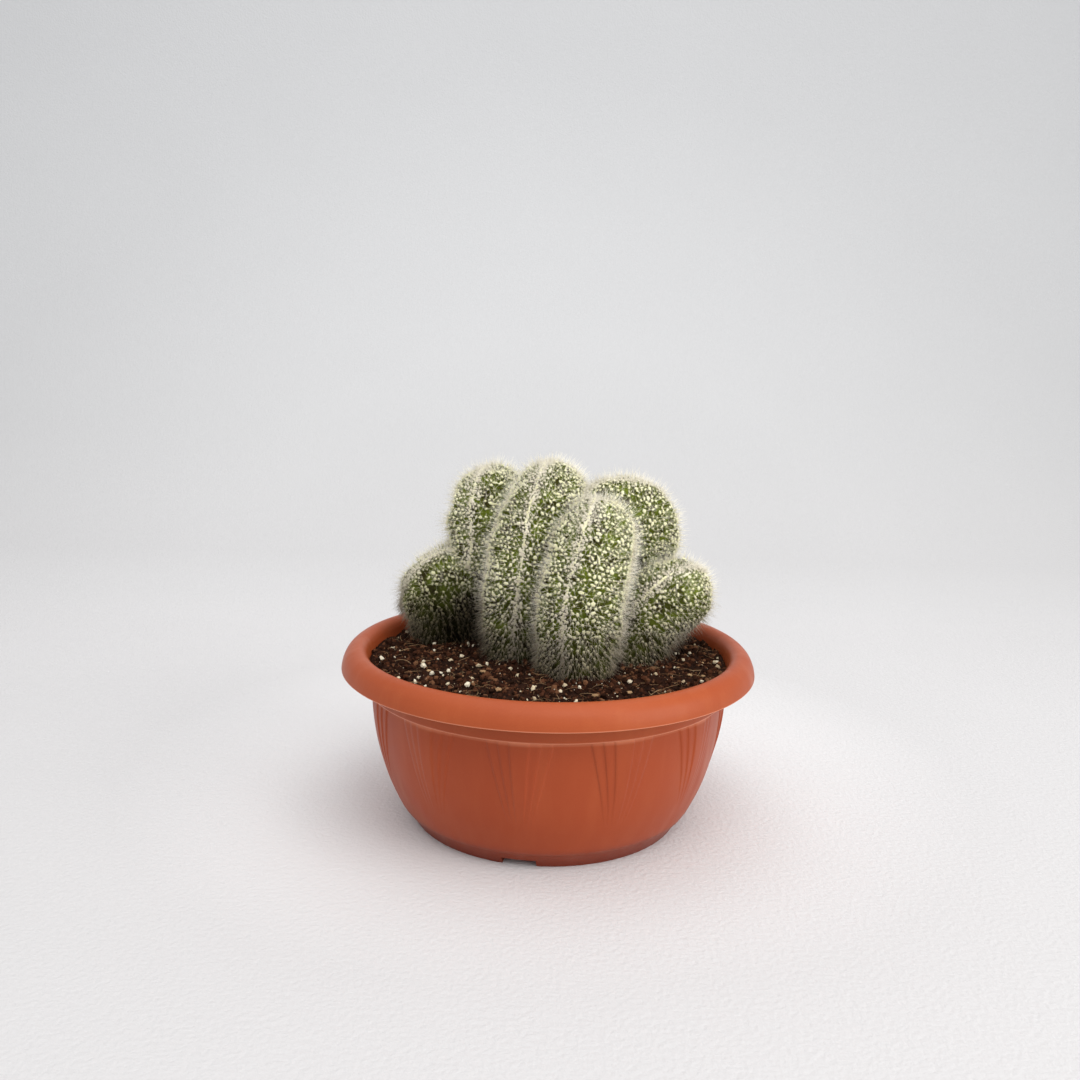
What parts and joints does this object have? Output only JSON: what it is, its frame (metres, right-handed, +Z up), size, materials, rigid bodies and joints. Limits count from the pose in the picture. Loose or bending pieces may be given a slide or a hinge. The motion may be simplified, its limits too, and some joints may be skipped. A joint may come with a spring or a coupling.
{
  "type": "potted crested silver torch cactus",
  "caption": "Crested silver torch cactus with thick wavy folds and fine white spines, growing in gritty compost in a round plastic bowl.",
  "frame": {"origin": "centre of the bowl's round foot, on the surface that it stands on; the middle of the bounding box's bottom", "axes": "+Z up; -Y towards the side with the lowest, foremost fold, which is the side shown in the picture; +X to the right as seen from there"},
  "size_m": [0.1998, 0.1998, 0.1773],
  "materials": {
    "pot": "satin",
    "soil": "matte",
    "cactus": "matte"
  },
  "bodies": {
    "root": {"pot": "pot", "soil": "soil", "cactus": "cactus"}
  },
  "joints": []
}
